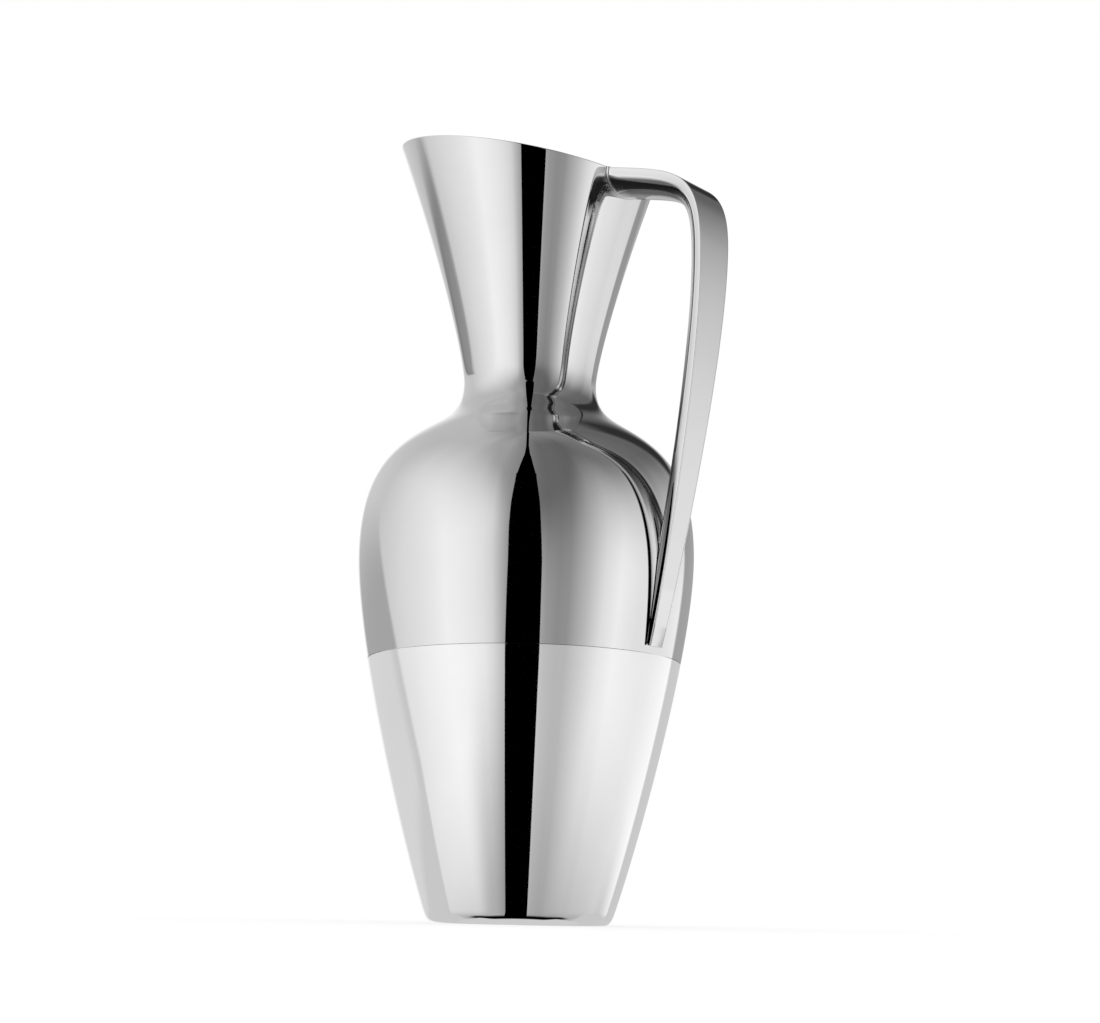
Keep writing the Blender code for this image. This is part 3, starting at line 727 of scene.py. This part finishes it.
def mirrored_seam(angle):
    """Height angle at which the tent shows in the seam: its mirrored lines of sight followed to the tent."""
    point, ray = mirrored_ring(SEAM_HEIGHT, -SEEN_SIDE, SEEN_SIDE)
    start = point - TENT_HEIGHT * view_up
    along = np.sum(start * ray, axis=1)
    far = np.sqrt(along ** 2 - np.sum(start ** 2, axis=1) + TENT_RADIUS ** 2) - along
    hit = start + far[:, None] * ray
    around = np.degrees(np.arctan2(hit @ view_right, hit @ view_towards))
    return np.interp(angle, around, np.degrees(np.arcsin(hit @ view_up / TENT_RADIUS)))


def left_card(angle, height):
    """Share of the left card: its edge on the slit's side leans with height, down to where it is upright."""
    edge = angle + LEFT_CARD_SHEAR * np.maximum(height, LEFT_CARD_UPRIGHT)
    return eased(angle, *LEFT_CARD_BACK) * eased(edge, *LEFT_CARD_FRONT) * eased(height, *LEFT_CARD_FOOT)


def right_card(angle):
    """Share of the right card, which ends sharply on the slit's side and softly behind."""
    return eased(angle, *RIGHT_CARD_FRONT) * eased(angle, *RIGHT_CARD_BACK)


def wall_glow(angle, height):
    """Glow of the tent's wall: that of its panels and cards, fading with height into the grey above, which
    evens out at the zenith, and the dark gap."""
    glow, start, end, above = (np.interp(angle, TENT_PANELS[:, 0], TENT_PANELS[:, k]) for k in (1, 3, 4, 5))
    glow = glow + (LEFT_CARD_WALL - glow) * left_card(angle, height) * eased(height, *LEFT_CARD_TOP)
    glow = glow + (RIGHT_CARD_WALL - glow) * right_card(angle) * eased(height, *RIGHT_CARD_TOP)
    above = ZENITH_GLOW + (above - ZENITH_GLOW) * eased(height, 90.0, 90.0 - ZENITH_SPREAD)
    glow = glow + (above - glow) * eased(height, start, end)
    gap = eased(angle, *GAP_FRONT) * eased(angle, *GAP_BACK)
    return glow + (GAP_GLOW - glow) * gap * eased(height, *GAP_FOOT) * eased(height, *GAP_TOP)


def skirt_glow(angle, height):
    """Glow of the tent's skirt: its panels and cards fade downwards, at an angle and by a share that change
    from side to side; under them is a dark band in front, and then the white sheet under the pitcher."""
    glow = np.interp(angle, TENT_PANELS[:, 0], TENT_PANELS[:, 2])
    edge = angle + LEFT_CARD_SHEAR * height
    card = LEFT_CARD_SKIRT - LEFT_CARD_FRONT_LOSS * eased(edge, *LEFT_CARD_FRONT_DIM)
    card = card - LEFT_CARD_FOOT_LOSS * eased(height, *LEFT_CARD_FOOT_DIM)
    glow = glow + (card - glow) * left_card(angle, height)
    glow = glow + (RIGHT_CARD_SKIRT - glow) * right_card(angle)
    rise_left = FADE_RISE_LEFT * eased(angle, *FADE_RISE_LEFT_AT)
    rise_right = FADE_RISE_RIGHT * eased(angle, *FADE_RISE_RIGHT_AT)
    start = SKIRT_FADE + np.where(angle < 0.0, rise_left, rise_right)
    end = start - SKIRT_FADE_LENGTH + FADE_SHORTER * eased(angle, *FADE_SHORTER_AT)
    loss_right = partway((SKIRT_LOSS_FRONT, SKIRT_LOSS), eased(angle, *SKIRT_LOSS_AT))
    loss = np.where(angle < 0.0, SKIRT_LOSS, loss_right) * eased(height, start, end)
    off_slit = np.abs(angle)
    glow = np.maximum(glow * (1.0 - loss), SKIRT_LEAST * eased(off_slit, *SKIRT_LEAST_AT))
    aside = eased(off_slit, *FRONT_END)
    band = eased(height, partway(BAND_START, aside), partway(BAND_FULL, aside)) * eased(off_slit, *BAND_END)
    glow = glow * (1.0 - band)
    return glow + (TABLE_GLOW - glow) * eased(height, partway(TABLE_START, aside), partway(TABLE_FULL, aside))


def cloth(name, points, glow, cover=1.0):
    """Stage sheet that only mirrors see, with its own glow and cover at each point: where it does not cover,
    it is seen through."""
    piece = sheet_mesh(name, points)
    look = bpy.data.materials.new(name)
    look.use_nodes = True
    nodes, link = look.node_tree.nodes, look.node_tree.links.new
    nodes.remove(nodes["Principled BSDF"])
    source = {}
    for field, values in (("glow", glow), ("cover", cover)):
        numbers = np.broadcast_to(values, points.shape[:2]).astype(np.float32)
        piece.data.attributes.new(field, 'FLOAT', 'POINT').data.foreach_set("value", numbers.ravel())
        source[field] = nodes.new('ShaderNodeAttribute')
        source[field].attribute_name = field
    lit, clear = nodes.new('ShaderNodeEmission'), nodes.new('ShaderNodeBsdfTransparent')
    both = nodes.new('ShaderNodeMixShader')
    link(source["glow"].outputs["Fac"], lit.inputs["Strength"])
    link(source["cover"].outputs["Fac"], both.inputs["Fac"])
    link(clear.outputs["BSDF"], both.inputs[1])
    link(lit.outputs["Emission"], both.inputs[2])
    link(both.outputs["Shader"], nodes["Material Output"].inputs["Surface"])
    look.cycles.emission_sampling = 'NONE'
    piece.data.materials.append(look)
    piece.visible_camera = piece.visible_diffuse = piece.visible_shadow = False


around = np.linspace(-180.0, 180.0, TENT_COLUMNS)
hem = mirrored_seam(around)
upwards = np.linspace(0.0, 1.0, TENT_ROWS)[:, None]
wall_angle, wall_height = np.broadcast_arrays(around, hem + (90.0 - hem) * upwards)
cloth("tent_wall", tent_points(wall_angle, wall_height), wall_glow(wall_angle, wall_height))
skirt_angle, skirt_height = np.broadcast_arrays(around, -90.0 + (hem + 90.0) * upwards)
cloth("tent_skirt", tent_points(skirt_angle, skirt_height), skirt_glow(skirt_angle, skirt_height))

slit_height = np.linspace(SLIT[0, 0], SLIT[-1, 0], SLIT_ROWS)[:, None]
slit_edge = np.concatenate([np.interp(slit_height, SLIT[:, 0], SLIT[:, k]) for k in (1, 2)], axis=1)
slit_angle = np.degrees(np.arcsin(np.sin(np.radians(slit_edge)) / np.cos(np.radians(slit_height))))
slit_angle, slit_height = np.broadcast_arrays(slit_angle, slit_height)
cloth("tent_slit", tent_points(slit_angle, slit_height, TENT_RADIUS - SLIT_OFF), 0.0)


# Board and flag: two sheets of card inside the tent. The black board slopes away from the seam, in front and
# on the right, with a slot beside the handle's foot, and the grey flag slopes up behind on the left.
BOARD = np.array([  # angle from the slit of a line on the board; its length
    (-80, 0.384), (-60, 0.40), (0, 0.36), (25, 0.60), (68, 0.62), (84, 0.26), (92, 0.17), (116, 0.17),
    (121, 0.25)])
BOARD_NEAR = 0.002  # its edge off the seam
BOARD_LEFT, BOARD_RIGHT = (-80.0, -30.0), (122.0, 88.0)  # angles over which it thins out on each side
BOARD_GLOW, BOARD_SHEEN, BOARD_SHEEN_AT = 0.012, 0.20, (-0.02, 0.35)  # lighter towards the right
SLOT_RIGHT, SLOT_TOWARDS = 0.0485, 0.0385  # handle's foot, right of the axis and towards the camera
SLOT_ACROSS = 0.29, 0.955  # direction across the slot, right and towards the camera
SLOT_MIDDLE, SLOT_EDGE = 0.0026, (0.004, 0.0055)  # off the foot, and how far to each side
SLOT_START = (0.055, 0.048)  # right of the axis
FLAG = np.array([  # angle from the slit of a line on the flag; its length
    (-180, 0.85), (-154, 0.82), (-146, 0.76), (-138, 0.68), (-130, 0.58), (-122, 0.50), (-114, 0.45)])
FLAG_START, FLAG_NEAR = 0.150, 0.10  # height on the belly that it slopes up from, and how far off
FLAG_RING = (-80.5, -45.0)  # stretch of that ring, in degrees round the body
FLAG_GLOW = 0.22
FLAG_COVER, FLAG_COVER_AT = (0.60, 0.94), (0.15, 0.55)  # cover near the body and farther out
FLAG_FRONT, FLAG_SHEAR, FLAG_BACK = (-124.0, -138.0), 40.0, (-165.0, -157.0)
FLAG_END = (1.0, 0.7)  # shares of its length over which it thins out


def sloping(height, left, right, near, far, rows=50):
    """Sheet along the mirrored lines of sight of a ring on the body, which no other line of the same wall
    crosses: points, the angle of each line from the slit, and the distance along it."""
    point, ray = mirrored_ring(height, left, right)
    angle = np.degrees(np.arctan2(ray @ view_right, ray @ view_towards))
    flat = ray / np.hypot(ray[:, 0], ray[:, 1])[:, None]
    share = np.linspace(0.0, 1.0, rows)[:, None]
    along = near + share * (np.interp(angle, far[:, 0], far[:, 1]) - near)
    return point + along[..., None] * flat, np.broadcast_to(angle, along.shape), along


board, board_angle = sloping(SEAM_HEIGHT, -SEEN_SIDE, SEEN_SIDE, BOARD_NEAR, BOARD)[:2]
board_right, board_towards = board @ view_right, board @ view_towards
off_foot = (board_right - SLOT_RIGHT) * SLOT_ACROSS[0] + (board_towards - SLOT_TOWARDS) * SLOT_ACROSS[1]
beside_slot = np.maximum(eased(np.abs(off_foot - SLOT_MIDDLE), *SLOT_EDGE), eased(board_right, *SLOT_START))
board_cover = beside_slot * eased(board_angle, *BOARD_LEFT) * eased(board_angle, *BOARD_RIGHT)
cloth("black_board", board, BOARD_GLOW + BOARD_SHEEN * eased(board_right, *BOARD_SHEEN_AT), board_cover)

flag, flag_angle, flag_along = sloping(FLAG_START, *FLAG_RING, FLAG_NEAR, FLAG)
flag_sides = eased(flag_angle - FLAG_SHEAR * flag_along, *FLAG_FRONT) * eased(flag_angle, *FLAG_BACK)
flag_cover = partway(FLAG_COVER, eased(flag_along, *FLAG_COVER_AT)) * flag_sides
cloth("grey_flag", flag, FLAG_GLOW, flag_cover * eased(flag_along / flag_along[-1], *FLAG_END))


# Painted dark reflection and painted shade on the neck: a black strip up the front of the shoulder to the
# neck paints a dark reflection on it, and a thin, partly clear sheet to the left of it paints shade; both
# stand a hair's breadth in front of the steel.
PAINTED_SHEET_OFF = 0.00012  # how far they stand off the steel
NECK_REFLECTION = np.array([  # height; middle to the right of the axis; width
    (0.1520, -0.00065, 0.0076), (0.1537, -0.0006, 0.0069), (0.1552, -0.0005, 0.0062),
    (0.1582, -0.00045, 0.0044), (0.1612, -0.0003, 0.0026), (0.1621, -0.0003, 0.0019),
    (0.1645, -0.0003, 0.0012), (0.1660, -0.0004, 0.0008), (0.1690, -0.0004, 0.0007),
    (0.1765, -0.0003, 0.0008), (0.1835, 0.0, 0.0013), (0.1865, 0.0, 0.0016), (0.1895, 0.0, 0.0021),
    (0.1925, 0.0, 0.0027), (0.1955, 0.0, 0.0031), (0.1966, 0.0, 0.0032), (0.1973, 0.0, 0.0024),
    (0.1981, 0.0, 0.0022)])
NECK_REFLECTION_ROWS, NECK_REFLECTION_COLUMNS = 160, 5
NECK_REFLECTION_THIN, NECK_REFLECTION_THIN_AT = 0.12, (0.1972, 0.1977)  # cover lost at its upper end
NECK_SHADE_LEFT, NECK_SHADE_RIGHT = (-0.0170, -0.0098), (-0.0026, -0.0064)  # each edge, and where it is full
NECK_SHADE_FOOT, NECK_SHADE_TOP = 0.1717, (0.1824, 0.1812)
NECK_SHADE_COVER, NECK_SHADE_THIN, NECK_SHADE_THIN_AT = 0.35, 0.22, (0.1785, 0.1740)  # cover, and the share lost downwards
NECK_SHADE_POINTS = 60


def close_in_front(height, across):
    """Points a little in front of the body, at a height and a distance to the right of its axis: on the
    circle of that height, moved out along the wall's normal."""
    height, across = np.broadcast_arrays(height, across)
    lean, rise = (np.interp(height, BODY[:, 1], BODY_TANGENT[:, k]) for k in (0, 1))
    radius = np.interp(height, BODY[:, 1], BODY[:, 0]) + PAINTED_SHEET_OFF * rise
    out, up = np.sqrt(radius ** 2 - across ** 2), height - PAINTED_SHEET_OFF * lean
    return across[..., None] * view_right + out[..., None] * view_towards + up[..., None] * view_up


reflection_height = np.linspace(NECK_REFLECTION[0, 0], NECK_REFLECTION[-1, 0], NECK_REFLECTION_ROWS)[:, None]
reflection_middle, reflection_width = (np.interp(reflection_height, NECK_REFLECTION[:, 0], NECK_REFLECTION[:, k]) for k in (1, 2))
neck_reflection = close_in_front(reflection_height, reflection_middle + reflection_width * np.linspace(-0.5, 0.5, NECK_REFLECTION_COLUMNS))
# Black strip that paints a dark reflection up the front of the shoulder and neck.
cloth("painted_neck_reflection", neck_reflection, 0.0, 1.0 - NECK_REFLECTION_THIN * eased(reflection_height, *NECK_REFLECTION_THIN_AT))

neck_shade_height = np.linspace(NECK_SHADE_FOOT, NECK_SHADE_TOP[0], NECK_SHADE_POINTS)[:, None]
neck_shade_across = np.linspace(NECK_SHADE_LEFT[0], NECK_SHADE_RIGHT[0], NECK_SHADE_POINTS)
neck_shade_sides = eased(neck_shade_across, *NECK_SHADE_LEFT) * eased(neck_shade_across, *NECK_SHADE_RIGHT)
neck_shade_upwards = eased(neck_shade_height, *NECK_SHADE_TOP) * (1.0 - NECK_SHADE_THIN * eased(neck_shade_height, *NECK_SHADE_THIN_AT))
neck_shade = close_in_front(neck_shade_height, neck_shade_across)
# Partly clear dark sheet that paints shade on the neck, left of the dark streak.
cloth("painted_neck_shade", neck_shade, 0.0, NECK_SHADE_COVER * neck_shade_sides * neck_shade_upwards)


# Painted shade on the handle: a dark, partly clear sheet round the handle's back, a hair's breadth off the
# steel, paints shade on it, densest under the root and beside the shoulder. Turns are in radians round the
# back, from the edge on the handle's +Y side.
HANDLE_SHADE_OFF = 0.0002  # how far it stands off the steel
HANDLE_SHADE_GLOW = 0.014
HANDLE_SHADE = np.array([  # height; cover beside the outer face, and along the middle of the back
    (0.138, 0.0, 0.0), (0.144, 0.12, 0.3), (0.150, 0.35, 0.6), (0.158, 0.55, 0.6), (0.170, 0.75, 0.6),
    (0.190, 0.75, 0.6), (0.203, 0.55, 0.5), (0.213, 0.25, 0.42), (0.225, 0.12, 0.34), (0.240, 0.12, 0.38),
    (0.252, 0.05, 0.20), (0.260, 0.40, 0.15), (0.268, 0.78, 0.50), (0.2763, 0.78, 0.50),
    (0.2772, 0.24, 0.15)])
HANDLE_SHADE_ROWS, HANDLE_SHADE_COLUMNS = 90, 76
HANDLE_SHADE_FAR, HANDLE_SHADE_NEAR = (0.5, 0.7), math.pi - 0.3  # its far edge, and the end of its near side
HANDLE_SHADE_MIDDLE = (2.0, 1.7)  # from beside the face to the middle of the back
HANDLE_SHADE_EDGE, HANDLE_SHADE_EDGE_SOFT = math.pi - 0.65, 0.15  # its near edge, and how softly that ends
HANDLE_SHADE_EDGE_RISE, HANDLE_SHADE_EDGE_RISE_AT = 0.14, (0.252, 0.264)  # edge nearer the face under the root

handle_shade_height = np.linspace(HANDLE_SHADE[0, 0], HANDLE_SHADE[-1, 0], HANDLE_SHADE_ROWS)[:, None]
handle_shade_turn = np.linspace(HANDLE_SHADE_FAR[0], HANDLE_SHADE_NEAR, HANDLE_SHADE_COLUMNS)
handle_shade_section = np.stack([np.cos(handle_shade_turn) / 2, HANDLE_SHADE_OFF * np.cos(handle_shade_turn),
                           (HANDLE_DEPTH + HANDLE_SHADE_OFF) * np.sin(handle_shade_turn)], axis=1)
handle_shade_place = np.interp(handle_shade_height, HANDLE[::-1, 1], HANDLE_TRAVEL[::-1])
handle_shade_pair = tuple(np.interp(handle_shade_height, HANDLE_SHADE[:, 0], HANDLE_SHADE[:, k]) for k in (1, 2))
handle_shade_edge = HANDLE_SHADE_EDGE + HANDLE_SHADE_EDGE_RISE * eased(handle_shade_height, *HANDLE_SHADE_EDGE_RISE_AT)
handle_shade_cover = partway(handle_shade_pair, eased(handle_shade_turn, *HANDLE_SHADE_MIDDLE)) * eased(handle_shade_turn, *HANDLE_SHADE_FAR)
handle_shade_cover = handle_shade_cover * eased(handle_shade_turn, handle_shade_edge + HANDLE_SHADE_EDGE_SOFT, handle_shade_edge)
# Dark sheet round the handle's back that paints shade under the root and beside the shoulder.
cloth("painted_handle_shade", carried(handle_shade_place, handle_shade_section), HANDLE_SHADE_GLOW, handle_shade_cover)


# End: colours render as they are written.
bpy.context.scene.view_settings.view_transform = 'Standard'
